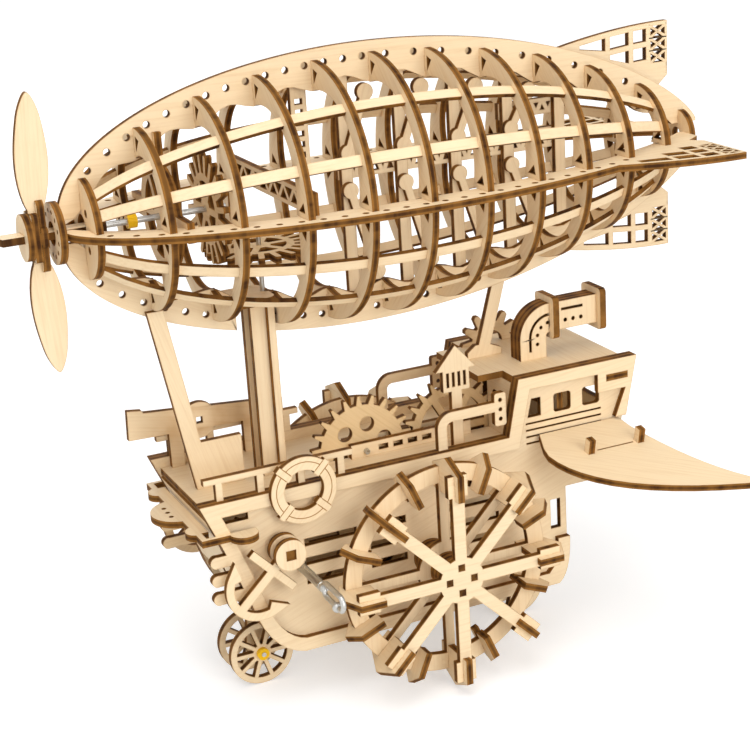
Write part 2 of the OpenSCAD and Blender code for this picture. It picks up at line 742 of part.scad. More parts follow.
module hull_borders() {
    w = border_w;
    inner = concat([for (i = [1:len(stem) + bow_steps - 1]) inset(keel_line, i, w)],
        [[rear_wheel_x + 4, hull_z0 + w], [stern_x - w, hull_z0 + w + 6], [stern_x - w, 46]]);
    u = stem[1] - stem[0];
    z = gunwale_z - w;
    corner = inner[0] + u * (z - inner[0][1]) / u[1];
    color(BIRCH) for (s = SIDES) upright(s * (beam + h)) difference() {
        union() {
            polygon(concat(keel_line, backwards(inner), [corner, [cabin_x0, z], [cabin_x0 + 6, roof_z - 5.5],
                [cabin_x1 - 20, roof_z - 5.5], [cabin_x1 - 20, roof_z - 14], [cabin_x1 - 5.8, roof_z - 14],
                [cabin_x1 - 11.2, gunwale_z - 1.5], [cabin_x1 - 5.8, gunwale_z - 1.5], [cabin_x1, roof_z],
                [cabin_x0 + 0.5, roof_z], [cabin_x0 - 5, gunwale_z]]));
            for (k = [0:2]) stem_finger(gunwale_z - 25.4 - 8.2 * k);
        }
        brace_slot();
    }
}
module stem_finger(z) {
    tip = bow_x + 5;
    a = stem[2];
    b = stem[3];
    root = a[0] + (b[0] - a[0]) * (z - a[1]) / (b[1] - a[1]);
    translate([tip, z]) circle(2.6);
    translate([tip, z - 2.5]) square([root - tip + 1.5, 5]);
}
module hull_floor() {
    color(BIRCH) level(hull_z0 + h) difference() {
        translate([floor_x0, -inside]) square([rear_wheel_x + 8 - floor_x0, 2 * inside]);
        translate([rear_wheel_x - 6, 0]) square([14, ply] + [2, 2] * fit, center = true);
        for (s = SIDES) translate([rear_wheel_x, s * wheel_y])
            square([2 * wheel_r - 4, ply + 1.4], center = true);
    }
}
// The sloping plate that closes the bow between the sides.
module bow_plate() {
    a = stem[0];
    b = stem[1];
    c = stem[3];
    u = (b - a) / norm(b - a);
    v = (c - b) / norm(c - b);
    n = [-u[1], u[0]] * ply;
    m = [-v[1], v[0]] * ply;
    top = a + u * 9.5;
    color(BIRCH) difference() {
        upright(0, 2 * inside) polygon([top, b, c, c + m, b + m, top + n]);
        translate([motor_x, 0, motor_z]) upright(motor_y, ply + 1.6) circle(motor_p + add + 0.6);
    }
}
module wing_arm() {
    c = cos(wing_droop);
    s = sin(wing_droop);
    w = [frame_y + 0.3, wing_z];
    d = [c, -s];
    n = [s, c];
    polygon([[inside, wing_z], w, w + 24 * d, w + 22 * d - 3 * n, [inside, wing_z - 9.6]]);
    a = w + tab_s * d;
    b = a + tab_l * d;
    up = (ply + 6.5) * n;
    polygon([a - n, b - n, b + up, a + up]);
}
module wing_frames() {
    color(BIRCH) for (x = wing_frame_xs) across(x) difference() {
        union() {
            translate([-inside, wing_z - 9.6]) square([2 * inside, roof_z - ply - wing_z + 9.6]);
            for (k = [0, 1]) mirror([k, 0]) wing_arm();
        }
        for (k = [-1, 1]) translate([k * (inside / 2 - 1), roof_z - ply - 13]) rounded(inside - 10, 12, 3);
        translate([-4, wing_z - 10]) square([8, 6]);
    }
}
module wing_2d() {
    nose = [stern_x - 18, 14];
    tip = [stern_x + 61, 67.5];
    heel = [stern_x + 28, 6];
    front = bend(nose, [stern_x - 14, 50], tip, 12);
    rear = bend(tip, [stern_x + 40, 52], heel, 10);
    difference() {
        polygon(concat([[stern_x - 13, -3], [stern_x - 17, 8], nose], front, [tip], rear,
            [heel, [stern_x + 27, -3]]));
        for (x = wing_frame_xs) translate([x - h - fit, tab_s - fit]) square([ply, tab_l] + [2, 2] * fit);
        translate([wing_frame_xs[0] + 4, tab_s + 1.5]) square([18, 0.6]);
    }
}
module wings() {
    color(BIRCH) for (k = [0, 1]) mirror([0, k, 0]) translate([0, frame_y + 0.3, wing_z])
        rotate([-wing_droop, 0, 0]) linear_extrude(ply) wing_2d();
}
module main_deck() {
    color(BIRCH) level(deck_z - h) difference() {
        translate([bow_x + 4, -inside]) square([wing_frame_xs[0] - h - bow_x - 4, 2 * inside]);
        translate([drive_x, 0]) circle(drive_r + run);
        translate([deck1[0] - deck_p - 3, deck_y - h - 0.7])
            square([deck2[0] - deck1[0] + 2 * deck_p + 6, ply + 1.4]);
    }
}
module bow_fender() {
    x = bow_x + 5.2;
    color(BIRCH) level(gunwale_z - 15) difference() {
        union() {
            translate([x - 3, 0]) circle(12.5);
            translate([x - 6, -frame_y - 2]) square([24, 2 * frame_y + 4]);
            for (k = [0, 1]) mirror([0, k]) {
                translate([x + 12, frame_y + 2]) circle(6);
                translate([x - 4, frame_y - 10]) circle(5);
            }
        }
        translate([x - 0.4, -inside]) square([60, 2 * inside]);
        for (k = [0, 1]) mirror([0, k]) translate([x - 3.4, inside - 0.2]) square([60, 2 * ply + 0.2]);
        for (k = [-1:1]) translate([x - 8.5, 5 * k]) circle(1);
    }
}
module deck_rails() {
    x0 = bow_x + 3.5;
    top = gunwale_z + 10;
    color(BIRCH) for (s = SIDES) upright(s * (beam - h)) {
        translate([x0, top - 2.5]) square([rail_l, 2.5]);
        for (k = [0:3]) translate([x0 + 5 + 18 * k, gunwale_z]) square([3, top - gunwale_z - 2.4]);
        hand_pipe();
    }
}
// A handrail cut like a pipe: up from the gunwale, round a bend and aft to a bracket with three holes.
module hand_pipe() {
    x = cabin_x0 - 37.6;
    z = gunwale_z + 9.4;
    w = 4.4;
    bend_r = 7;
    translate([x, gunwale_z]) square([w, 9.4]);
    intersection() {
        translate([x + bend_r, z]) difference() {
            circle(bend_r);
            circle(bend_r - w);
        }
        translate([x, z]) square([bend_r, bend_r]);
    }
    difference() {
        union() {
            translate([x + bend_r, z + bend_r - w]) square([24, w]);
            translate([cabin_x0 - 7.2, z + 3.4]) rounded(5.6, 15, 1.2);
        }
        for (k = [-1:1]) translate([cabin_x0 - 7.2, z + 3.4 + 4.3 * k]) circle(0.9);
    }
}
module signal_house() {
    x = cabin_x0 - 22.8;
    z = gunwale_z + 21.5;
    color(BIRCH) upright(-20) difference() {
        union() {
            translate([x - 2.5, deck_z]) square([5, z - deck_z + 1]);
            translate([x - 6.3, z]) square([12.6, 10]);
            polygon([[x - 9.6, z + 9.6], [x + 9.6, z + 9.6], [x, z + 20.5]]);
        }
        for (k = [0:3]) translate([x - 4.7 + 2.7 * k, z + 2]) square([1.3, 6.6]);
    }
}
module cabin_plates() {
    color(BIRCH) cabin_front();
    color(BIRCH) cabin_roof();
    color(BIRCH) cabin_brace();
}
module cabin_front() {
    across(cabin_x0 + h) difference() {
        translate([-inside, deck_z]) square([2 * inside, roof_z - ply - deck_z]);
        translate([deck_y - h - 0.7, deck_z - 1]) square([ply + 1.4, 24]);
        for (k = [-1, 1]) translate([k * 17, deck_z + 14]) rounded(12, 11, 2);
    }
}
module cabin_roof() {
    level(roof_z - h) {
        translate([cabin_x0 + 0.8, -inside]) square([cabin_x1 - 6 - cabin_x0 - 0.8, 2 * inside]);
        translate([cabin_x0 - 11.5, -20]) square([13, 40]);
    }
}
// Half a toothed wheel that stands on the roof.
module roof_crest() {
    teeth = 6;
    color(BIRCH) upright(20) translate([cabin_x0 + 16, roof_z]) difference() {
        union() {
            circle(10);
            for (k = [0:teeth]) rotate(180 * k / teeth)
                polygon([[9, -2.2], [14.4, -1.4], [15.2, 0], [14.4, 1.4], [9, 2.2]]);
        }
        circle(5.5);
        translate([-20, -20]) square([40, 20]);
    }
}
module exhaust_2d() {
    x = cabin_x0 + 13;
    z = roof_z;
    difference() {
        translate([x, z]) square([13, 9.5]);
        translate([x + 4.4, z + 3.5]) square([1.2, 5.4]);
        translate([x + 8.6, z + 6.6]) circle(0.8);
    }
    intersection() {
        translate([x + 15, z + 9.4]) difference() {
            circle(15);
            difference() {
                circle(10.6);
                circle(9.4);
            }
            for (a = [100:34:168]) rotate(a) translate([6.4, 0]) circle(0.8);
            circle(2);
        }
        translate([x, z + 9.4]) square([15, 15]);
    }
    difference() {
        translate([x + 18, z + 11.4]) square([21, 13]);
        translate([x + 21, z + 20]) square([11, 1.2]);
        for (k = [0:2]) translate([x + 23 + 4 * k, z + 15.4]) circle(0.9);
    }
}
module exhaust_pipe() {
    color(BIRCH) for (k = [-1:1]) upright(-10 + ply * k) exhaust_2d();
    color(BIRCH_DEEP) for (x = [15, 39]) across(cabin_x0 + 13 + x + h)
        translate([-10, roof_z + 17.9]) rounded(16, 19, 2);
}
module life_ring() {
    color(BIRCH) upright(-frame_y - h) translate([bow_x + 44.5, gunwale_z - 1]) {
        difference() {
            circle(14.6);
            circle(8.8);
        }
        for (k = [0:3]) rotate(90 * k + 45) translate([8, -1.4]) square([7.5, 2.8]);
    }
}
module deck_gun() {
    x = bow_x - 9.5;
    z = gunwale_z + 11.7;
    color(BIRCH) upright(inside - h) difference() {
        union() {
            polygon([[x, z], [x + 0.5, z + 13.3], [x + 7, z + 12.4], [x + 7.6, z + 11.2],
                [x + 71, z + 5.6], [x + 71, z - 2]]);
            for (d = [18, 52]) translate([x + d, deck_z]) square([6, z - deck_z + 2]);
            translate([x + 32.2, z + 3]) circle(8.2);
        }
        translate([x + 30.7, z + 1.5]) square(3);
    }
}

// Anchors, key and gears

module spool(y0, y1, r) {
    translate([drum_x, y0, drum_z]) rotate([-90, 0, 0]) cylinder(h = y1 - y0, r = r);
}
module anchor_drums() {
    color(BIRCH) for (k = [0, 1]) mirror([0, k, 0]) difference() {
        union() {
            spool(beam, beam + 3.4, 5);
            spool(beam + 3.4, beam + 6.4, drum_r);
            spool(beam + 6, beam + 13, drum_neck);
            spool(beam + 10, beam + 13, drum_r);
        }
        translate([drum_x - 2.2, beam + 11.4, drum_z - 2.2]) cube([4.4, 3, 4.4]);
    }
}
module anchor(s) {
    color(BIRCH) upright(s * (beam + 8.2), 2.8) translate([drum_x, drum_z]) rotate(-137) difference() {
        union() {
            circle(5);
            translate([0, -2]) square([31, 4]);
            translate([8, -13]) square([3.4, 26]);
            translate([18, 0]) polygon(concat(
                [for (a = [-70:7:70]) 15 * [cos(a), sin(a)]],
                [[-1.5, 16.4], [2.2, 8.6]],
                [for (a = [63:-7:-63]) 11.4 * [cos(a), sin(a)]],
                [[2.2, -8.6], [-1.5, -16.4]]));
        }
        circle(drum_neck + run);
    }
}
module anchor_port() { anchor(PORT); }
module anchor_starboard() { anchor(STARBOARD); }
module winding_key() {
    color(STEEL) translate([key_x, -key_end, key_z]) {
        rotate([-90, 0, 0]) cylinder(h = key_end - inside + 3, r = key_r);
        translate([-key_t / 2, 1, 0]) rotate([90, 0, 90]) linear_extrude(key_t) translate([-key_l / 2, 0])
            difference() {
                rounded(key_l, 8.4, 4);
                rounded(key_l - 4.4, 4, 1.8);
            }
        translate([0, -key_l * 0.6, -3.2]) sphere(2.2);
    }
}
module motor_gear() {
    color(BIRCH_DEEP) translate([motor_x, 0, motor_z]) upright(motor_y) difference() {
        gear_2d(motor_n, motor_p, motor_a);
        spoke_windows(6, 8, 22, 4);
        circle(pin_r + run);
    }
}
module deck_gear(c, a0) {
    color(BIRCH_DEEP) translate([c[0], 0, c[1]]) upright(deck_y) difference() {
        gear_2d(deck_n, deck_p, a0);
        children();
        circle(pin_r + run);
    }
}
module deck_gear_front() {
    deck_gear(deck1, deck1_a) for (k = [0:5]) rotate(60 * k + 15) translate([11, 0]) circle(3.4);
}
module deck_gear_rear() {
    deck_gear(deck2, deck2_a) spoke_windows(6, 6, 16, 3.4);
}
module rod_y(x, z, y0, y1, r) {
    translate([x, y0, z]) rotate([-90, 0, 0]) cylinder(h = y1 - y0, r = r);
}
module gear_pins() {
    color(STEEL) {
        rod_y(motor_x, motor_z, motor_y - h - 6, inside, pin_r);
        for (c = [deck1, deck2]) rod_y(c[0], c[1], deck_y - 2 * ply - 1, deck_y + 2 * ply + 1, pin_r);
    }
}
module gear_bearings() {
    x0 = deck1[0] - 7;
    color(BIRCH) for (k = [-1, 1]) upright(deck_y + k * (ply + 1)) difference() {
        translate([x0, deck_z]) square([deck2[0] - deck1[0] + 14, 6.4]);
        for (c = [deck1, deck2]) translate(c) circle(pin_r + eps);
        for (i = [0:4]) translate([x0 + 13 + 7 * i, deck_z + 2]) square([4.5, 2.4]);
    }
}

// Paddle wheels

module paddle_axle() {
    color(STEEL) rod_y(0, axle_z, -paddle_y + ply, paddle_y - ply, axle_r);
}
module axle_gears() {
    color(BIRCH_DEEP) translate([0, 0, axle_z]) for (y = [motor_y, deck_y]) upright(y) difference() {
        gear_2d(axle_n, axle_p, axle_a);
        for (k = [0:5]) rotate(60 * k + 30) translate([12, 0]) circle(4);
        circle(axle_r + eps);
    }
}
spoke_n = 8;
rim_y = paddle_y - 2 * ply - paddle_gap;
paddle_l = 13;
paddle_in = paddle_r - 16.4;
rim_r = paddle_r - 5.4;
rim_hub = 13;
module paddle_slots(a0) {
    for (i = [0:spoke_n - 1]) rotate(a0 + 360 * i / spoke_n)
        translate([paddle_lap, -h - fit]) square([20, ply + 2 * fit]);
}
module paddle_spokes() {
    color(BIRCH) translate([0, 0, axle_z]) for (s = SIDES) upright(s * (paddle_y - h)) difference() {
        union() {
            circle(10.2);
            for (i = [0:spoke_n - 1]) rotate(360 * i / spoke_n) {
                translate([0, -2.75]) square([paddle_lap + 3, 5.5]);
                translate([paddle_lap - 6, -4.5]) square([9.5, 9]);
            }
        }
        for (k = [0:3]) rotate(90 * k) translate([beam_r, -h - fit]) square([ply, ply] + [1, 2] * fit);
        paddle_slots(0);
    }
}
module paddle_rims() {
    color(BIRCH) translate([0, 0, axle_z]) for (s = SIDES) upright(s * (rim_y + h)) difference() {
        circle(rim_r, $fn = 96);
        spoke_windows(spoke_n, rim_hub, paddle_in + 3.5, 4);
        circle(axle_r + eps);
        for (k = [0:3]) rotate(90 * k) translate([beam_r, -h - fit]) square([ply, ply] + [1, 2] * fit);
        paddle_slots(180 / spoke_n);
        paddle_slots(0);
    }
}
// One paddle, drawn in radius and in Y outwards from its own middle; it grips its plate in a slot.
module paddle_2d(slot_y, reach) {
    difference() {
        polygon([[paddle_in, -reach[0]], [paddle_r - 5, -reach[0]], [paddle_r, (reach[1] - reach[0]) / 2],
            [paddle_r - 5, reach[1]], [paddle_in, reach[1]]]);
        for (y = slot_y) translate([paddle_in - 1, y - h - fit])
            square([paddle_lap - paddle_in + 1, ply + 2 * fit]);
    }
}
module paddle_blades() {
    color(BIRCH) translate([0, 0, axle_z]) for (k = [0, 1]) mirror([0, k, 0]) for (i = [0:spoke_n - 1]) {
        rotate([0, -360 * i / spoke_n, 0]) linear_extrude(ply, center = true)
            translate([0, rim_y + h]) paddle_2d([0, paddle_gap + ply], [4.5, paddle_gap + ply + 4.5]);
        rotate([0, -360 * (i + 0.5) / spoke_n, 0]) linear_extrude(ply, center = true)
            translate([0, rim_y + h]) paddle_2d([0], [4.5, 9]);
    }
}
module paddle_beams() {
    color(BIRCH) translate([0, 0, axle_z]) for (s = SIDES) {
        upright(s * (rim_y + paddle_gap / 2 + ply), paddle_gap) difference() {
            circle(beam_r + ply + 0.6);
            circle(axle_r + eps);
        }
        for (k = [0:3], e = [0, 1]) upright(s * (rim_y + h + e * (paddle_gap + ply)), ply) rotate(90 * k)
            translate([beam_r, -h]) square([ply, ply]);
        upright(s * (rim_y - (rim_y - frame_y - 1) / 2), rim_y - frame_y - 1) difference() {
            circle(8);
            circle(axle_r + eps);
        }
    }
}

// Small wheels

module wheel_pair(x) {
    color(BIRCH) translate([x, 0, wheel_z]) for (s = SIDES) upright(s * wheel_y) difference() {
        circle(wheel_r, $fn = 72);
        spoke_windows(10, 4.2, wheel_r - 2.8, 1.8);
        circle(wheel_axle_r + eps);
    }
}
module wheel_axle(x) {
    e = wheel_y + h;
    color(STEEL) rod_y(x, wheel_z, -e - 2.4, e + 2.4, wheel_axle_r);
    color(CAP) for (s = SIDES) difference() {
        rod_y(x, wheel_z, s > 0 ? e : -e - 2, s > 0 ? e + 2 : -e, 2.7);
        rod_y(x, wheel_z, -e - 3, e + 3, wheel_axle_r + eps);
    }
}
module front_wheels() { wheel_pair(front_wheel_x); }
module rear_wheels() { wheel_pair(rear_wheel_x); }
module front_axle() { wheel_axle(front_wheel_x); }
module rear_axle() { wheel_axle(rear_wheel_x); }
module wheel_legs() {
    f = front_wheel_x;
    r = rear_wheel_x;
    z = hull_z0 + ply;
    color(BIRCH) upright() difference() {
        union() {
            translate([f, wheel_z]) circle(4.5);
            polygon([[f - 4.5, wheel_z], [f + 4.5, wheel_z], [floor_x0, hull_z0], [floor_x0, z],
                [floor_x0 + 10, z], [floor_x0 + 10, z + 7], [floor_x0 - 13, z + 12]]);
        }
        translate([f, wheel_z]) circle(wheel_axle_r + run);
    }
    color(BIRCH) upright() difference() {
        union() {
            translate([r, wheel_z]) circle(4.5);
            polygon([[r - 4.5, wheel_z], [r + 4.5, wheel_z], [r + 3, hull_z0], [r - 15, hull_z0]]);
            translate([r - 13, hull_z0 - 0.1]) square([14, ply + 0.1]);
        }
        translate([r, wheel_z]) circle(wheel_axle_r + run);
    }
}

keel_top();
keel_bottom();
waterline_plates();
upper_ribs();
lower_ribs();
stringers();
tail_fins();
cross_frames();
cross_girder();
king_posts();
strut_arms();
truss_rails();
gear_platform();
propeller_hub();
nose_shaft();
propeller_blades();
propeller_shaft();
shaft_bush();
crown_gear();
level_gear();
drive_shaft();
pinion();
front_mast();
middle_mast();
rear_mast();
hull_sides();
hull_borders();
hull_floor();
bow_plate();
wing_frames();
wings();
main_deck();
bow_fender();
deck_rails();
signal_house();
cabin_plates();
roof_crest();
exhaust_pipe();
life_ring();
deck_gun();
anchor_drums();
anchor_port();
anchor_starboard();
winding_key();
motor_gear();
deck_gear_front();
deck_gear_rear();
gear_pins();
gear_bearings();
paddle_axle();
axle_gears();
paddle_spokes();
paddle_rims();
paddle_blades();
paddle_beams();
wheel_legs();
front_wheels();
front_axle();
rear_wheels();
rear_axle();
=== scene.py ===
"""Looks of a laser-cut plywood airship model: birch plates with burnt cut edges, steel rods, yellow caps.

Every plate is a welded copy of its solid that carries three attributes worked out from its own shape:
grain (millimetres along the grain, across it and through the sheet), depth (-1 to 1 through the sheet, or
through each plate of a stack) and scorch (1 on the cuts, falling to 0 a little way into the flat sides).
"""

import json

import bmesh
import bpy
import numpy as np
from mathutils import Matrix


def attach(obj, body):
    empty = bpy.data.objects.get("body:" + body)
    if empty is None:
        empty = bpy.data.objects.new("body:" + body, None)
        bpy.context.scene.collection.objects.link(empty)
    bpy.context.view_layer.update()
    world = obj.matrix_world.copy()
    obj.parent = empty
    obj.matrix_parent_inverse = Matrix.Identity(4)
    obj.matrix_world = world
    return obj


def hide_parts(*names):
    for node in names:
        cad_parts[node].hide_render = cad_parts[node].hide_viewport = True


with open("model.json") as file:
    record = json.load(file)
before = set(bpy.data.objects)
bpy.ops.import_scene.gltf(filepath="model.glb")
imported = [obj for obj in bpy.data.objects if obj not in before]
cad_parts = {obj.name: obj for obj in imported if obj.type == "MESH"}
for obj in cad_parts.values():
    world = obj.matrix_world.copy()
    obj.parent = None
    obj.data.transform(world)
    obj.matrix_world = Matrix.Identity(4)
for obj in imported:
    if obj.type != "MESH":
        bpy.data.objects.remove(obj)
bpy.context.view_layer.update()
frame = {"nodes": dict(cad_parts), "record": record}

MM = 0.001
# Width of the amber band beside a cut
FRINGE = 0.55 * MM
# Thickness of the plywood, in millimetres
PLY = 3.0
# Patches up to this average width are cut edges, in nodes whose plates cross
STRIP_WIDTH = (PLY + 0.4) * MM
# A face is a cut edge where the cosine of its tilt from the sheet's normal is below this
EDGE_COSINE = 0.6
# On the exhaust, end faces that look along the model are veneer from this area on
END_COSINE = 0.95
END_AREA = 120 * MM * MM
SHARP_ANGLE = np.radians(32)
# Each plate's veneer is shifted by up to this many millimetres
GRAIN_SHIFT = 400
RNG = np.random.default_rng(7)

# Camera, fitted to the photograph: place in metres, angles in degrees, focal length in image widths
CAMERA_PLACE = (-0.2977, -0.6662, 0.3757)
CAMERA_AZIMUTH = 23.70
CAMERA_DROP = 18.86
CAMERA_ROLL = 3.61
CAMERA_FOCAL = 1771.4 / 750
SENSOR_MM = 36.0

# Finishes, as linear colours
BIRCH_PALE = (0.87, 0.68, 0.435, 1)
BIRCH_DARK = (0.71, 0.48, 0.25, 1)
GEAR_PALE = (0.78, 0.56, 0.30, 1)
GEAR_DARK = (0.60, 0.39, 0.17, 1)
SCORCH = (0.47, 0.235, 0.062, 1)
CHAR_PLY = (0.29, 0.127, 0.026, 1)
CHAR_CORE = (0.046, 0.016, 0.003, 1)
CAP_YELLOW = (0.90, 0.50, 0.006, 1)
CAP_LIGHT = (0.94, 0.57, 0.01, 1)
STEEL_GREY = (0.42, 0.41, 0.38, 1)
STEEL_BRIGHT = (0.60, 0.60, 0.58, 1)
FLOOR_GREY = (0.8, 0.8, 0.8, 1)
BUMP_DEPTH = 0.1 * MM

# Studio, in metres and watts
FLOOR_REACH = 4.0
# White added to the floor for the camera, near the model and far from it, and where the change lies
FLOOR_LIFT = 0.42
FAR_LIFT = 0.62
LIFT_FROM = 0.3
LIFT_TO = 1.8
SKY_LIGHT = 0.54
# Each lamp's place, aim, size and power
LAMPS = {
    "overhead_lamp": ((-0.3, -0.3, 1.3), (0, 0, 0.12), 0.9, 7.0),
    "bow_lamp": ((-1.3, -0.8, 0.7), (0, 0, 0.14), 0.8, 1.6),
    "port_lamp": ((0.2, -1.5, 0.6), (0, 0, 0.12), 0.9, 12.5),
    "starboard_lamp": ((0.1, 1.5, 0.6), (0, 0, 0.12), 0.9, 3.5),
}

STEEL_NODES = ("propeller_shaft", "drive_shaft", "gear_pins", "paddle_axle")
AXLE_NODES = ("front_axle", "rear_axle")
# Nodes made of plates stacked face to face, with the direction through the stack
STACKED_NODES = {
    "exhaust_pipe": (0, 1, 0),
    "propeller_hub": (1, 0, 0),
    "paddle_beams": (0, 1, 0),
    "anchor_drums": (0, 1, 0),
    "middle_mast": (0, 1, 0),
}
# Nodes whose plates meet at right angles in one solid
CROSSED_NODES = ("cabin_plates", "exhaust_pipe")
# Nodes that show tenon ends, with the greatest area in square millimetres of those in one plane
TENON_NODES = {"anchor_drums": 25, "paddle_beams": 45}
GEAR_NODES = (
    "crown_gear",
    "level_gear",
    "pinion",
    "motor_gear",
    "deck_gear_front",
    "deck_gear_rear",
    "axle_gears",
)


# Shader node groups


def new_group(name, inputs, outputs):
    """An empty shader group with the named sockets; returns the tree and its two end nodes."""
    tree = bpy.data.node_groups.new(name, "ShaderNodeTree")
    for label, kind in inputs:
        tree.interface.new_socket(label, in_out="INPUT", socket_type=kind)
    for label, kind in outputs:
        tree.interface.new_socket(label, in_out="OUTPUT", socket_type=kind)
    return tree, tree.nodes.new("NodeGroupInput"), tree.nodes.new("NodeGroupOutput")


def scaled_noise(tree, coord, scale, detail, roughness=0.55):
    """Noise over a coordinate stretched by a scale for each axis, as a value between 0 and 1."""
    mapping = tree.nodes.new("ShaderNodeMapping")
    mapping.inputs["Scale"].default_value = scale
    tree.links.new(coord, mapping.inputs["Vector"])
    noise = tree.nodes.new("ShaderNodeTexNoise")
    noise.inputs["Scale"].default_value = 1
    noise.inputs["Detail"].default_value = detail
    noise.inputs["Roughness"].default_value = roughness
    tree.links.new(mapping.outputs["Vector"], noise.inputs["Vector"])
    return noise.outputs["Fac"]


def remapped(tree, value, low, high, to_low=0.0, to_high=1.0):
    """A value carried smoothly from the range low..high to to_low..to_high."""
    node = tree.nodes.new("ShaderNodeMapRange")
    node.interpolation_type = "SMOOTHSTEP"
    tree.links.new(value, node.inputs["Value"])
    node.inputs["From Min"].default_value = low
    node.inputs["From Max"].default_value = high
    node.inputs["To Min"].default_value = to_low
    node.inputs["To Max"].default_value = to_high
    return node.outputs["Result"]


def joined(tree, operation, a, b):
    """Two values, sockets or numbers, joined by a math operation."""
    node = tree.nodes.new("ShaderNodeMath")
    node.operation = operation
    for socket, given in zip(node.inputs, (a, b)):
        if isinstance(given, (int, float)):
            socket.default_value = given
        else:
            tree.links.new(given, socket)
    return node.outputs[0]


def mixed(tree, factor, a, b):
    """Colour a turned into colour b by a factor; each is a socket or a colour."""
    node = tree.nodes.new("ShaderNodeMix")
    node.data_type = "RGBA"
    tree.links.new(factor, node.inputs[0])
    for socket, given in ((node.inputs[6], a), (node.inputs[7], b)):
        if isinstance(given, tuple):
            socket.default_value = given
        else:
            tree.links.new(given, socket)
    return node.outputs[2]


def birch_grain_group():
    """Birch veneer: streaks, clouds and short pores along the grain, and an amber fringe beside each cut."""
    tree, start, end = new_group(
        "birch_grain",
        [("Grain", "NodeSocketVector"), ("Scorch", "NodeSocketFloat"), ("Pale", "NodeSocketColor"),
         ("Dark", "NodeSocketColor")],
        [("Color", "NodeSocketColor"), ("Height", "NodeSocketFloat"), ("Roughness", "NodeSocketFloat")],
    )
    grain = start.outputs["Grain"]
    streak = scaled_noise(tree, grain, (0.035, 0.9, 0.9), 4)
    cloud = scaled_noise(tree, grain, (0.02, 0.07, 0.07), 2)
    pore = remapped(tree, scaled_noise(tree, grain, (0.22, 3.6, 3.6), 2), 0.6, 0.72)
    streaked = remapped(tree, streak, 0.40, 0.75, 0, 0.34)
    clouded = remapped(tree, cloud, 0.4, 0.8, 0, 0.16)
    share = joined(tree, "ADD", joined(tree, "ADD", streaked, clouded), joined(tree, "MULTIPLY", pore, 0.16))
    veneer = mixed(tree, share, start.outputs["Pale"], start.outputs["Dark"])
    fringe = joined(tree, "MULTIPLY", joined(tree, "POWER", start.outputs["Scorch"], 1.6), 0.62)
    smoke = remapped(tree, scaled_noise(tree, grain, (0.09, 0.09, 0.09), 2), 0.3, 0.7, 0.45, 1)
    tree.links.new(
        mixed(tree, joined(tree, "MULTIPLY", fringe, smoke), veneer, SCORCH), end.inputs["Color"]
    )
    tree.links.new(streak, end.inputs["Height"])
    tree.links.new(remapped(tree, streak, 0.3, 0.8, 0.5, 0.68), end.inputs["Roughness"])
    return tree


def cut_edge_group():
    """Laser-cut edge: a darker core between two outer plies, glue lines, and soot that varies along the cut.

    The depth repeats every 2 units, so that each plate of a stack shows its own layers.
    """
    tree, start, end = new_group(
        "cut_edge",
        [("Grain", "NodeSocketVector"), ("Depth", "NodeSocketFloat"), ("Ply", "NodeSocketColor"),
         ("Core", "NodeSocketColor")],
        [("Color", "NodeSocketColor"), ("Height", "NodeSocketFloat")],
    )
    wander = scaled_noise(tree, start.outputs["Grain"], (0.5, 0.5, 0.5), 2)
    shifted = joined(tree, "ADD", start.outputs["Depth"], 61)
    depth = joined(tree, "ABSOLUTE", joined(tree, "SUBTRACT", joined(tree, "MODULO", shifted, 2), 1), 0)
    depth = joined(tree, "ADD", depth, joined(tree, "MULTIPLY", joined(tree, "SUBTRACT", wander, 0.5), 0.16))
    core = remapped(tree, depth, 0.26, 0.40, 1, 0)
    glue = joined(
        tree, "MULTIPLY", remapped(tree, depth, 0.30, 0.38), remapped(tree, depth, 0.40, 0.52, 1, 0)
    )
    soot = scaled_noise(tree, start.outputs["Grain"], (0.16, 0.16, 0.02), 3)
    dark = joined(tree, "ADD", joined(tree, "MULTIPLY", core, 0.55), joined(tree, "MULTIPLY", glue, 0.4))
    dark = joined(tree, "ADD", dark, remapped(tree, soot, 0.35, 0.75, 0, 0.55))
    colour = mixed(tree, dark, start.outputs["Ply"], start.outputs["Core"])
    tree.links.new(colour, end.inputs["Color"])
    tree.links.new(joined(tree, "SUBTRACT", 1, dark), end.inputs["Height"])
    return tree


GRAIN_GROUP = birch_grain_group()
EDGE_GROUP = cut_edge_group()


# Materials


def new_material(name):
    """A material with a Principled shader; returns the material, its tree and the shader node."""
    material = bpy.data.materials.new(name)
    material.use_nodes = True
    return material, material.node_tree, material.node_tree.nodes["Principled BSDF"]


def attribute(tree, name):
    """The node that reads one of the plates' own attributes."""
    node = tree.nodes.new("ShaderNodeAttribute")
    node.attribute_name = name
    return node


def placed(tree, group, **values):
    """A shader group set into a material with its own colours and coordinates."""
    node = tree.nodes.new("ShaderNodeGroup")
    node.node_tree = group
    for label, given in values.items():
        if isinstance(given, tuple):
            node.inputs[label].default_value = given
        else:
            tree.links.new(given, node.inputs[label])
    return node


def bumped(tree, height, shader, strength):
    """A bump from a height into the shader's normal."""
    bump = tree.nodes.new("ShaderNodeBump")
    bump.inputs["Strength"].default_value = strength
    bump.inputs["Distance"].default_value = BUMP_DEPTH
    tree.links.new(height, bump.inputs["Height"])
    tree.links.new(bump.outputs["Normal"], shader.inputs["Normal"])


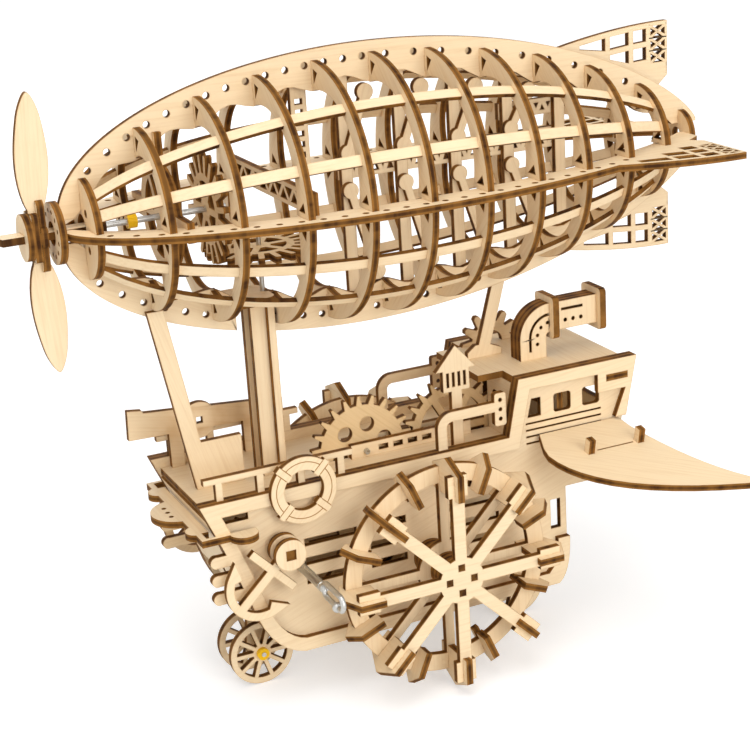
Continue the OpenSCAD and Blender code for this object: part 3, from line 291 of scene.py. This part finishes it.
def veneer_material(name, pale, dark):
    """The flat face of a plate: birch veneer with its grain along the plate."""
    material, tree, shader = new_material(name)
    grain = placed(
        tree,
        GRAIN_GROUP,
        Grain=attribute(tree, "grain").outputs["Vector"],
        Scorch=attribute(tree, "scorch").outputs["Fac"],
        Pale=pale,
        Dark=dark,
    )
    tree.links.new(grain.outputs["Color"], shader.inputs["Base Color"])
    tree.links.new(grain.outputs["Roughness"], shader.inputs["Roughness"])
    shader.inputs["Specular IOR Level"].default_value = 0.3
    bumped(tree, grain.outputs["Height"], shader, 0.15)
    return material


def burnt_edge_material(name, ply, core):
    """The cut edge of a plate: layers burnt brown by the laser."""
    material, tree, shader = new_material(name)
    edge = placed(
        tree,
        EDGE_GROUP,
        Grain=attribute(tree, "grain").outputs["Vector"],
        Depth=attribute(tree, "depth").outputs["Fac"],
        Ply=ply,
        Core=core,
    )
    tree.links.new(edge.outputs["Color"], shader.inputs["Base Color"])
    shader.inputs["Roughness"].default_value = 0.72
    shader.inputs["Specular IOR Level"].default_value = 0.12
    bumped(tree, edge.outputs["Height"], shader, 0.2)
    return material


def steel_material():
    """Drawn steel: fine scratches round and along the rod change the gloss."""
    material, tree, shader = new_material("drawn_steel")
    coord = tree.nodes.new("ShaderNodeTexCoord").outputs["Object"]
    scratch = scaled_noise(tree, coord, (900, 140, 900), 4)
    tree.links.new(remapped(tree, scratch, 0.3, 0.7, 0.26, 0.46), shader.inputs["Roughness"])
    tree.links.new(mixed(tree, scratch, STEEL_GREY, STEEL_BRIGHT), shader.inputs["Base Color"])
    shader.inputs["Metallic"].default_value = 1
    return material


def cap_material():
    """Moulded yellow plastic with a faint orange-peel gloss."""
    material, tree, shader = new_material("yellow_cap")
    coord = tree.nodes.new("ShaderNodeTexCoord").outputs["Object"]
    peel = scaled_noise(tree, coord, (1400, 1400, 1400), 2)
    tree.links.new(mixed(tree, peel, CAP_YELLOW, CAP_LIGHT), shader.inputs["Base Color"])
    tree.links.new(remapped(tree, peel, 0.3, 0.7, 0.3, 0.42), shader.inputs["Roughness"])
    shader.inputs["Specular IOR Level"].default_value = 0.22
    bumped(tree, peel, shader, 0.05)
    return material


def burnt_line_material():
    """A shallow line burnt into the veneer: brown, darker in patches."""
    material, tree, shader = new_material("burnt_line")
    coord = tree.nodes.new("ShaderNodeTexCoord").outputs["Object"]
    patch = scaled_noise(tree, coord, (500, 500, 500), 2)
    tree.links.new(mixed(tree, patch, SCORCH, CHAR_PLY), shader.inputs["Base Color"])
    shader.inputs["Roughness"].default_value = 0.75
    return material


BIRCH_FACE = veneer_material("birch_face", BIRCH_PALE, BIRCH_DARK)
GEAR_FACE = veneer_material("gear_face", GEAR_PALE, GEAR_DARK)
BIRCH_EDGE = burnt_edge_material("burnt_edge", CHAR_PLY, CHAR_CORE)
STEEL = steel_material()
CAP = cap_material()
BURNT_LINE = burnt_line_material()


# Plates


def welded(node):
    """The vertices of a CAD node's triangles with doubles merged, and the triangles that use them."""
    mesh = frame["nodes"][node].data
    mesh.calc_loop_triangles()
    points = np.empty(len(mesh.vertices) * 3)
    mesh.vertices.foreach_get("co", points)
    corners = np.empty(len(mesh.loop_triangles) * 3, np.int32)
    mesh.loop_triangles.foreach_get("vertices", corners)
    points, places = np.unique(points.reshape(-1, 3).round(7), axis=0, return_inverse=True)
    triangles = places.ravel()[corners].reshape(-1, 3)
    whole = (np.diff(np.sort(triangles, axis=1), axis=1) > 0).all(axis=1)
    return points, triangles[whole]


def island_of(count, triangles):
    """A number for each vertex, the same for all vertices that triangles join: the lowest spreads."""
    label = np.arange(count)
    while True:
        lowest = label[triangles].min(axis=1)
        spread = label.copy()
        np.minimum.at(spread, triangles.ravel(), np.repeat(lowest, 3))
        spread = spread[spread]
        if (spread == label).all():
            return np.unique(label, return_inverse=True)[1]
        label = spread


def sheet_axes(points, triangles, island):
    """For each island three axes: along the grain, across it, and through the sheet.

    The sheet's normal is the main direction of the area-weighted normals, and the grain is the
    direction in the sheet along which the points spread most.
    """
    count = island.max() + 1
    a, b, c = (points[triangles[:, k]] for k in range(3))
    cross = np.cross(b - a, c - a)
    area = np.linalg.norm(cross, axis=1)
    normal = cross / np.maximum(area, 1e-15)[:, None]
    spread = np.zeros((count, 3, 3))
    np.add.at(spread, island[triangles[:, 0]], area[:, None, None] * normal[:, :, None] * normal[:, None, :])
    through = np.linalg.eigh(spread)[1][:, :, 2]
    middle = np.zeros((count, 3))
    np.add.at(middle, island, points)
    middle /= np.bincount(island)[:, None]
    offset = points - middle[island]
    offset -= (offset * through[island]).sum(axis=1)[:, None] * through[island]
    reach = np.zeros((count, 3, 3))
    np.add.at(reach, island, offset[:, :, None] * offset[:, None, :])
    along = np.linalg.eigh(reach)[1][:, :, 2]
    across = np.cross(through, along)
    return np.stack([along, across, through], axis=1), normal, middle


def flat_patches(points, triangles, normal):
    """For each triangle the number, area and average width of the plane patch that it lies in.

    A patch is all triangles with one normal and one distance from the origin; its average width is its
    area divided by its greatest length.
    """
    corners = points[triangles]
    sides = corners[:, 1:] - corners[:, :1]
    area = np.linalg.norm(np.cross(sides[:, 0], sides[:, 1]), axis=1) / 2
    offset = (corners[:, 0] * normal).sum(axis=1, keepdims=True)
    key = np.hstack([normal.round(2), (offset / (0.05 * MM)).round()])
    patch = np.unique(key, axis=0, return_inverse=True)[1].ravel()
    total = np.bincount(patch, area)
    low = np.full((len(total), 3), np.inf)
    high = -low
    for k in range(3):
        np.minimum.at(low, patch, corners[:, k])
        np.maximum.at(high, patch, corners[:, k])
    width = total / np.maximum((high - low).max(axis=1), 1e-9)
    return patch, total[patch], width[patch]


def put_mesh(name, points, triangles, materials, choice):
    """A mesh object at the origin from arrays of points, triangles and each triangle's material."""
    mesh = bpy.data.meshes.new(name)
    mesh.vertices.add(len(points))
    mesh.vertices.foreach_set("co", points.astype(np.float32).ravel())
    mesh.loops.add(triangles.size)
    mesh.loops.foreach_set("vertex_index", triangles.astype(np.int32).ravel())
    mesh.polygons.add(len(triangles))
    mesh.polygons.foreach_set("loop_start", np.arange(0, triangles.size, 3, dtype=np.int32))
    for material in materials:
        mesh.materials.append(material)
    mesh.polygons.foreach_set("material_index", choice.astype(np.int32))
    mesh.update()
    mesh.validate()
    mesh.set_sharp_from_angle(angle=SHARP_ANGLE)
    piece = bpy.data.objects.new(name, mesh)
    bpy.context.scene.collection.objects.link(piece)
    return piece


def turned_axes(through):
    """Three axes for a stack: upright, across, and through the stack."""
    through = np.array(through, float)
    along = np.array((0.0, 0.0, 1.0))
    return np.stack([along, np.cross(through, along), through])


def with_fringe(points, triangles, is_edge, patch):
    """The plate with a narrow band of its own along every cut, on its flat sides.

    Each patch of flat sides is inset by FRINGE, so it keeps its outline and gains an inner line beside it.
    """
    shell = bmesh.new()
    corners = [shell.verts.new(p) for p in points]
    flats = {}
    for triangle, cut, number in zip(triangles.tolist(), is_edge.tolist(), patch.tolist()):
        loop = [corners[i] for i in triangle]
        if shell.faces.get(loop):
            continue
        face = shell.faces.new(loop)
        face.material_index = int(cut)
        if not cut:
            flats.setdefault(number, []).append(face)
    shell.normal_update()
    for flat in flats.values():
        bmesh.ops.inset_region(
            shell, faces=flat, use_boundary=True, use_even_offset=True, thickness=FRINGE, depth=0
        )
    bmesh.ops.triangulate(shell, faces=[f for f in shell.faces if len(f.verts) > 3])
    shell.verts.index_update()
    points = np.array([v.co[:] for v in shell.verts])
    triangles = np.array([[v.index for v in f.verts] for f in shell.faces])
    is_edge = np.array([f.material_index for f in shell.faces], bool)
    shell.free()
    return points, triangles, is_edge


def body_of_node(node):
    """The body that a CAD node rides on."""
    bodies = frame["record"]["behaviour"]["bodies"]
    return next(body for body, nodes in bodies.items() if node in nodes)


def dress_plates(node, face):
    """A node's plates with veneer on their faces and burnt layers on their cut edges."""
    points, triangles = welded(node)
    island = island_of(len(points), triangles)
    axes, normal, middle = sheet_axes(points, triangles, island)
    if node in STACKED_NODES:
        axes[:] = turned_axes(STACKED_NODES[node])
    through = axes[:, 2][island[triangles[:, 0]]]
    is_edge = np.abs((normal * through).sum(axis=1)) < EDGE_COSINE
    patch, area, width = flat_patches(points, triangles, normal)
    if node in TENON_NODES:
        is_edge |= area < TENON_NODES[node] * MM * MM
    if node in CROSSED_NODES:
        is_strip = width < STRIP_WIDTH
        if node in STACKED_NODES:
            is_end = (np.abs(normal[:, 0]) >= END_COSINE) & (area >= END_AREA)
            is_edge = (is_edge & ~is_end) | is_strip
        else:
            is_edge = is_strip
    else:
        patch[:] = 0
    count = len(points)
    points, triangles, is_edge = with_fringe(points, triangles, is_edge, patch)
    order = island_of(len(points), triangles)
    first = np.empty(order.max() + 1, int)
    first[order[:count]] = island
    island = first[order]
    scorch = np.zeros(len(points))
    scorch[np.unique(triangles[is_edge])] = 1
    piece = put_mesh(f"birch_{node}", points, triangles, (face, BIRCH_EDGE), is_edge)
    local = np.einsum("nij,nj->ni", axes[island], points - middle[island]) / MM
    half = np.zeros(len(middle))
    np.maximum.at(half, island, np.abs(local[:, 2]))
    depth = local[:, 2] / np.maximum(half[island], 1e-6)
    if node in STACKED_NODES:
        layers = np.maximum((2 * half / PLY).round(), 1)
        depth = depth * layers[island]
    local += RNG.uniform(-GRAIN_SHIFT, GRAIN_SHIFT, (len(middle), 3))[island]
    grain_data = piece.data.attributes.new("grain", "FLOAT_VECTOR", "POINT")
    grain_data.data.foreach_set("vector", local.astype(np.float32).ravel())
    for label, values in (("depth", depth), ("scorch", scorch)):
        data = piece.data.attributes.new(label, "FLOAT", "POINT")
        data.data.foreach_set("value", values.astype(np.float32))
    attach(piece, body_of_node(node))
    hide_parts(node)


def dress_axle(node):
    """A wheel axle in steel whose two short end pieces are yellow caps."""
    points, triangles = welded(node)
    island = island_of(len(points), triangles)
    count = island.max() + 1
    low = np.full(count, np.inf)
    high = np.full(count, -np.inf)
    np.minimum.at(low, island, points[:, 1])
    np.maximum.at(high, island, points[:, 1])
    is_cap = (high - low < (high - low).max())[island[triangles[:, 0]]]
    piece = put_mesh(f"rod_{node}", points, triangles, (STEEL, CAP), is_cap)
    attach(piece, body_of_node(node))
    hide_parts(node)


def round_section(sides):
    """The points of a unit circle, for swept."""
    turn = 2 * np.pi * np.arange(sides) / sides
    return np.stack([np.cos(turn), np.sin(turn)], axis=1)


def swept(path, radius, section, closed, square_to):
    """A bar along a path: copies of a section, scaled by the radius and square to the path, joined up.

    Each copy stands on the path's own direction and on an axis that the path never runs along.
    """
    path = np.array(path, float)
    sides = len(section)
    radius = np.broadcast_to(np.array(radius, float), len(path))
    ahead = np.roll(path, -1, axis=0) - np.roll(path, 1, axis=0)
    if not closed:
        ahead[0] = path[1] - path[0]
        ahead[-1] = path[-1] - path[-2]
    ahead /= np.linalg.norm(ahead, axis=1)[:, None]
    side = np.cross(ahead, square_to)
    side /= np.linalg.norm(side, axis=1)[:, None]
    other = np.cross(ahead, side)
    ring = section[None, :, :1] * side[:, None] + section[None, :, 1:] * other[:, None]
    points = (path[:, None] + radius[:, None, None] * ring).reshape(-1, 3)
    rows = len(path) if closed else len(path) - 1
    i, j = np.meshgrid(np.arange(rows), np.arange(sides), indexing="ij")
    ahead_row = (i + 1) % len(path)
    next_side = (j + 1) % sides
    a, b = i * sides + j, ahead_row * sides + j
    c, d = ahead_row * sides + next_side, i * sides + next_side
    halves = (np.stack([a, b, c], -1), np.stack([a, c, d], -1))
    triangles = np.concatenate([half.reshape(-1, 3) for half in halves])
    if not closed:
        k = np.arange(1, sides - 1)
        last = (len(path) - 1) * sides
        triangles = np.concatenate(
            [triangles, np.stack([0 * k, k, k + 1], -1), last + np.stack([0 * k, k + 1, k], -1)]
        )
    return points, triangles


def joined_parts(parts):
    """Several lists of points and triangles as one."""
    points, triangles, count = [], [], 0
    for p, t in parts:
        points.append(p)
        triangles.append(t + count)
        count += len(p)
    return np.concatenate(points), np.concatenate(triangles)


def add_winding_key():
    """The winding key: a drawn tube, a bent wire loop soldered to it, and a round knob on the loop.

    The tube's outline is a row of radii along its length; the loop is a slot shape of two half circles
    and two straight sides; the knob's radii follow a half circle.
    """
    low, high = node_box("winding_key")
    tube_r = 2.0 * MM
    wire = 1.15 * MM
    axis_height = 5.4 * MM
    loop_length = 21 * MM
    loop_half = 4.2 * MM
    knob_r = 2.2 * MM
    knob_back = 13.2 * MM
    knob_drop = 3.2 * MM
    # Rows of the tube stand at least this far apart, so that its path always has a direction
    row_step = 1e-6
    middle = np.array([(low[0] + high[0]) / 2, 0, low[2] + axis_height])
    tube_end = low[1] + loop_length
    tube_y = np.array([tube_end - 1 * MM, tube_end - 1 * MM, tube_end - 0.6 * MM, tube_end + 1.2 * MM,
                       tube_end + 1.5 * MM, tube_end + 1.8 * MM, high[1] - 0.4 * MM, high[1]])
    tube_wide = np.array([0.55, 0.9, 1, 1, 0.9, 1, 1, 0.9]) * tube_r
    tube = [(middle[0], y, middle[2]) for y in tube_y + np.arange(len(tube_y)) * row_step]
    loop_r = loop_half - wire
    ends = (low[1] + loop_r + wire, tube_end + 1 * MM - loop_r - wire)
    bend = np.linspace(0, np.pi, 17)
    loop = [(middle[0], ends[1] + loop_r * np.sin(a), middle[2] + loop_r * np.cos(a)) for a in bend]
    loop += [(middle[0], ends[0] - loop_r * np.sin(a), middle[2] - loop_r * np.cos(a)) for a in bend]
    knob_y = tube_end - knob_back
    round_off = np.linspace(0.06, np.pi - 0.06, 15)
    knob = [(middle[0], knob_y - knob_r * np.cos(a), middle[2] - knob_drop) for a in round_off]
    points, triangles = joined_parts([
        swept(tube, tube_wide, round_section(28), False, (1, 0, 0)),
        swept(loop, wire, round_section(14), True, (1, 0, 0)),
        swept(knob, knob_r * np.sin(round_off), round_section(24), False, (1, 0, 0)),
    ])
    key = put_mesh("winding_key_steel", points, triangles, (STEEL,), np.zeros(len(triangles)))
    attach(key, "key")
    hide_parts("winding_key")


def add_ring_lines():
    """Lines burnt into the life ring: one on each side of its four bands, and an arc between the bands."""
    low, high = node_box("life_ring")
    middle = (low + high) / 2
    front = low[1]
    strip = np.array([(-1, -0.2), (1, -0.2), (1, 0.2), (-1, 0.2)])
    half_line = 0.2 * MM
    half_band = 1.5 * MM
    inner, outer, arc_r = (r * MM for r in (9.1, 14.3, 12.3))
    parts = []
    for quarter in range(4):
        turn = np.pi / 4 + quarter * np.pi / 2
        along = np.array([np.cos(turn), 0, np.sin(turn)])
        aside = np.array([-np.sin(turn), 0, np.cos(turn)])
        place = np.array([middle[0], front, middle[2]])
        for side in (-half_band, half_band):
            ends = [place + r * along + side * aside for r in (inner, outer)]
            parts.append(swept(ends, half_line, strip, False, (0, 1, 0)))
        gap = half_band / arc_r
        sweep = turn + np.linspace(gap, np.pi / 2 - gap, 25)
        arc = [place + arc_r * np.array([np.cos(a), 0, np.sin(a)]) for a in sweep]
        parts.append(swept(arc, half_line, strip, False, (0, 1, 0)))
    points, triangles = joined_parts(parts)
    lines = put_mesh("life_ring_lines", points, triangles, (BURNT_LINE,), np.zeros(len(triangles)))
    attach(lines, body_of_node("life_ring"))


def node_box(node):
    """The lowest and the highest corner of a CAD node."""
    points = welded(node)[0]
    return points.min(axis=0), points.max(axis=0)


def set_material(node, material):
    """A CAD node that keeps its own mesh and takes a new finish."""
    slots = frame["nodes"][node].data.materials
    slots.clear()
    slots.append(material)


for node_name in frame["nodes"]:
    if node_name in STEEL_NODES:
        set_material(node_name, STEEL)
    elif node_name == "shaft_bush":
        set_material(node_name, CAP)
    elif node_name == "winding_key":
        add_winding_key()
    elif node_name in AXLE_NODES:
        dress_axle(node_name)
    elif node_name in GEAR_NODES:
        dress_plates(node_name, GEAR_FACE)
    else:
        dress_plates(node_name, BIRCH_FACE)

add_ring_lines()


# Studio


def camera_axes(azimuth, drop, roll):
    """Right, up and back of a camera that looks along azimuth and down by drop, then rolls to the right."""
    a, d, r = np.radians([azimuth, drop, roll])
    ahead = np.array([np.sin(a) * np.cos(d), np.cos(a) * np.cos(d), -np.sin(d)])
    level = np.array([np.cos(a), -np.sin(a), 0])
    upright = np.cross(level, ahead)
    right = np.cos(r) * level - np.sin(r) * upright
    return right, np.cross(right, ahead), -ahead


def add_camera():
    """The photograph's camera."""
    data = bpy.data.cameras.new("camera")
    data.sensor_width = SENSOR_MM
    data.lens = CAMERA_FOCAL * SENSOR_MM
    data.clip_start = 0.01
    camera = bpy.data.objects.new("camera", data)
    turn = Matrix(np.array(camera_axes(CAMERA_AZIMUTH, CAMERA_DROP, CAMERA_ROLL)).T.tolist())
    camera.matrix_world = Matrix.Translation(CAMERA_PLACE) @ turn.to_4x4()
    bpy.context.scene.collection.objects.link(camera)
    bpy.context.scene.camera = camera


def add_lamp(name, place, aim, size, power):
    """A square soft lamp that shines from place towards aim."""
    data = bpy.data.lights.new(name, "AREA")
    data.size = size
    data.energy = power
    lamp = bpy.data.objects.new(name, data)
    ahead = np.array(aim) - np.array(place)
    back = -ahead / np.linalg.norm(ahead)
    right = np.cross((0, 0, 1), back)
    right /= np.linalg.norm(right)
    turn = Matrix(np.array([right, np.cross(back, right), back]).T.tolist())
    lamp.matrix_world = Matrix.Translation(place) @ turn.to_4x4()
    bpy.context.scene.collection.objects.link(lamp)


def seen_directly(tree):
    """1 for rays from the camera, from a mirror or through glass, 0 for light that falls on things."""
    path = tree.nodes.new("ShaderNodeLightPath").outputs
    seen = joined(tree, "MAXIMUM", path["Is Camera Ray"], path["Is Glossy Ray"])
    return joined(tree, "MAXIMUM", seen, path["Is Transmission Ray"])


def add_floor():
    """A pale floor that shows white to the camera where nothing shades it, and keeps the shadow."""
    points = FLOOR_REACH * np.array([(-1, -1, 0), (1, -1, 0), (1, 1, 0), (-1, 1, 0)])
    mesh = bpy.data.meshes.new("floor")
    mesh.from_pydata(points.tolist(), [], [(0, 1, 2, 3)])
    material = bpy.data.materials.new("pale_floor")
    material.use_nodes = True
    tree = material.node_tree
    tree.nodes.remove(tree.nodes["Principled BSDF"])
    paint = tree.nodes.new("ShaderNodeBsdfDiffuse")
    paint.inputs["Color"].default_value = FLOOR_GREY
    glow = tree.nodes.new("ShaderNodeEmission")
    away = tree.nodes.new("ShaderNodeVectorMath")
    away.operation = "LENGTH"
    tree.links.new(tree.nodes.new("ShaderNodeTexCoord").outputs["Object"], away.inputs[0])
    lift = remapped(tree, away.outputs["Value"], LIFT_FROM, LIFT_TO, FLOOR_LIFT, FAR_LIFT)
    tree.links.new(joined(tree, "MULTIPLY", seen_directly(tree), lift), glow.inputs["Strength"])
    both = tree.nodes.new("ShaderNodeAddShader")
    tree.links.new(paint.outputs[0], both.inputs[0])
    tree.links.new(glow.outputs[0], both.inputs[1])
    tree.links.new(both.outputs[0], tree.nodes["Material Output"].inputs["Surface"])
    mesh.materials.append(material)
    floor = bpy.data.objects.new("floor", mesh)
    bpy.context.scene.collection.objects.link(floor)


def add_world():
    """An even white sky: plain light on things, white where the camera sees it."""
    world = bpy.data.worlds.new("studio")
    world.use_nodes = True
    tree = world.node_tree
    sky = tree.nodes["Background"]
    sky.inputs["Color"].default_value = (1, 1, 1, 1)
    level = remapped(tree, seen_directly(tree), 0, 1, SKY_LIGHT, 1)
    tree.links.new(level, sky.inputs["Strength"])
    bpy.context.scene.world = world


add_camera()
add_floor()
add_world()
for lamp_name, lamp_values in LAMPS.items():
    add_lamp(lamp_name, *lamp_values)
bpy.context.scene.view_settings.view_transform = "Standard"
